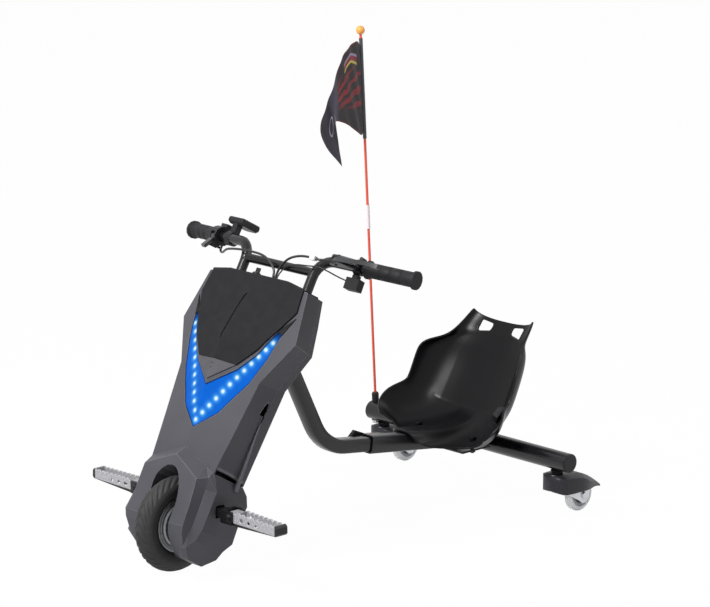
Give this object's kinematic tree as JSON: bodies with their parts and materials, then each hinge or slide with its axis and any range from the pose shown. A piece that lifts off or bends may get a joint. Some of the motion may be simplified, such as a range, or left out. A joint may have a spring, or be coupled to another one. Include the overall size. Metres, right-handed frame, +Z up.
{
  "type": "drift trike",
  "caption": "Child's electric drift trike: steered hub-motor front wheel in a moulded body with a V light, bent frame, bucket seat, rear beam on swivel casters, and a flag.",
  "frame": {"origin": "centre of the bounding box at its bottom, on the ground", "axes": "+Z up, the front faces -Y and the rider's left is +X"},
  "size_m": [0.6956, 1.081, 1.0116],
  "materials": {
    "black_plastic": "moulded, satin",
    "hood_plastic": "moulded, fine grain",
    "hood_tip_plastic": "moulded, lighter grey",
    "black_paint": "gloss black powder coat",
    "rubber": "matt",
    "tyre": "moulded tread",
    "steel": "zinc plated",
    "cast_metal": "cast, painted grey",
    "aluminium": "cast",
    "clear_white": "translucent",
    "blue_lens": "lit from behind",
    "orange": "plain",
    "red_pole": "glass-fibre rod",
    "flag_cloth": "printed thin cloth",
    "battery_wrap": "shrink wrap",
    "seat_plastic": "moulded, semi-gloss",
    "red_button": "moulded"
  },
  "bodies": {
    "frame": {"main_tube": "black_paint", "head_tube": "black_paint", "head_bearing_lower": "steel", "head_bearing_upper": "steel"},
    "rear_frame": {"rear_sleeve": "black_paint", "rear_beam": "black_paint", "beam_cap_left": "black_plastic", "beam_cap_right": "black_plastic", "seat": "seat_plastic", "seat_bolt_left": "steel", "seat_bolt_right": "steel", "seat_side_catch": "black_plastic", "flag_socket": "rubber", "flag_stud": "steel", "flag_pole_lower": "red_pole", "flag_pole_upper": "red_pole", "flag_ball": "orange", "flag": "flag_cloth"},
    "steering_assembly": {"fork": "black_paint", "upper_yoke": "black_paint", "handlebar": "black_paint", "grip_left": "rubber", "grip_right": "rubber", "throttle_housing": "black_plastic", "display": "black_plastic", "brake_perch": "black_plastic", "switch_box": "black_plastic", "throttle_lead": "rubber", "brake_lead": "rubber", "switch_lead": "rubber", "lead_connector": "clear_white", "key_switch": "black_plastic", "front_cover": "black_plastic", "rear_cover": "black_plastic", "hood_panel": "hood_plastic", "hood_tip": "hood_tip_plastic", "v_lens": "blue_lens", "light_board": "clear_white", "wheel_fairing": "black_plastic", "battery_pack": "battery_wrap", "controller": "aluminium", "motor_axle": "steel", "peg_bracket_left": "black_paint", "peg_bracket_right": "black_paint"},
    "front_wheel": {"front_tyre": "tyre", "motor_hub": "cast_metal"},
    "throttle_paddle": {"throttle_paddle": "cast_metal"},
    "brake_lever": {"brake_lever": "cast_metal"},
    "key": {"key": "steel"},
    "switch_button": {"switch_button": "red_button"},
    "display_button": {"display_button": "red_button"},
    "peg_left": {"peg_left": "cast_metal"},
    "peg_right": {"peg_right": "cast_metal"},
    "length_lever": {"length_lever": "black_plastic"},
    "caster_left": {"caster_fork_left": "steel", "caster_cover_left": "black_plastic"},
    "caster_right": {"caster_fork_right": "steel", "caster_cover_right": "black_plastic"},
    "caster_wheel_left": {"caster_wheel_left": "clear_white"},
    "caster_wheel_right": {"caster_wheel_right": "clear_white"}
  },
  "joints": [
    {"name": "frame_length", "type": "slide", "parent": "frame", "child": "rear_frame", "axis": [0, 0.9919, -0.1271], "range_m": [-0.06, 0.08]},
    {"name": "steering", "type": "hinge", "parent": "frame", "child": "steering_assembly", "pos_m": [0, -0.20615, 0.4975], "axis": [0, 0.4848, 0.8746], "range_deg": [-40, 40]},
    {"name": "front_wheel_spin", "type": "hinge", "parent": "steering_assembly", "child": "front_wheel", "pos_m": [0, -0.4405, 0.1], "axis": [1, 0, 0], "continuous": true},
    {"name": "throttle", "type": "hinge", "parent": "steering_assembly", "child": "throttle_paddle", "pos_m": [-0.23313, -0.11235, 0.61521], "axis": [0.9807, -0.1873, 0.0563], "range_deg": [0, 17], "stiffness_Nm_per_rad": 0.08, "springref_deg": -28.65},
    {"name": "brake", "type": "hinge", "parent": "steering_assembly", "child": "brake_lever", "pos_m": [0.1716, -0.14826, 0.63189], "axis": [-0.0408, 0.4774, 0.8777], "range_deg": [0, 12], "stiffness_Nm_per_rad": 1.5, "springref_deg": -8.59},
    {"name": "key_turn", "type": "hinge", "parent": "steering_assembly", "child": "key", "pos_m": [-0.026, -0.1934, 0.57618], "axis": [0, 0.4848, 0.8746], "range_deg": [-90, 0]},
    {"name": "switch_button_press", "type": "slide", "parent": "steering_assembly", "child": "switch_button", "axis": [0.1913, -0.8585, 0.4759], "range_m": [0, 0.002], "stiffness_N_per_m": 500, "springref_m": -0.001},
    {"name": "display_button_press", "type": "slide", "parent": "steering_assembly", "child": "display_button", "axis": [0, -0.4848, -0.8746], "range_m": [0, 0.0011], "stiffness_N_per_m": 500, "springref_m": -0.001},
    {"name": "peg_fold_left", "type": "hinge", "parent": "steering_assembly", "child": "peg_left", "pos_m": [0.148, -0.40842, 0.14084], "axis": [0, -1, 0], "range_deg": [0, 85]},
    {"name": "peg_fold_right", "type": "hinge", "parent": "steering_assembly", "child": "peg_right", "pos_m": [-0.148, -0.40842, 0.14084], "axis": [0, 1, 0], "range_deg": [0, 85]},
    {"name": "length_lever_turn", "type": "hinge", "parent": "rear_frame", "child": "length_lever", "pos_m": [-0.03, 0.1315, 0.16163], "axis": [-1, 0, 0], "range_deg": [0, 90]},
    {"name": "caster_swivel_left", "type": "hinge", "parent": "rear_frame", "child": "caster_left", "pos_m": [0.27, 0.4025, 0.09], "axis": [0, 0, 1], "continuous": true},
    {"name": "caster_spin_left", "type": "hinge", "parent": "caster_left", "child": "caster_wheel_left", "pos_m": [0.27, 0.4715, 0.0375], "axis": [1, 0, 0], "continuous": true},
    {"name": "caster_swivel_right", "type": "hinge", "parent": "rear_frame", "child": "caster_right", "pos_m": [-0.27, 0.4025, 0.09], "axis": [0, 0, 1], "continuous": true},
    {"name": "caster_spin_right", "type": "hinge", "parent": "caster_right", "child": "caster_wheel_right", "pos_m": [-0.27, 0.4715, 0.0375], "axis": [1, 0, 0], "continuous": true}
  ]
}
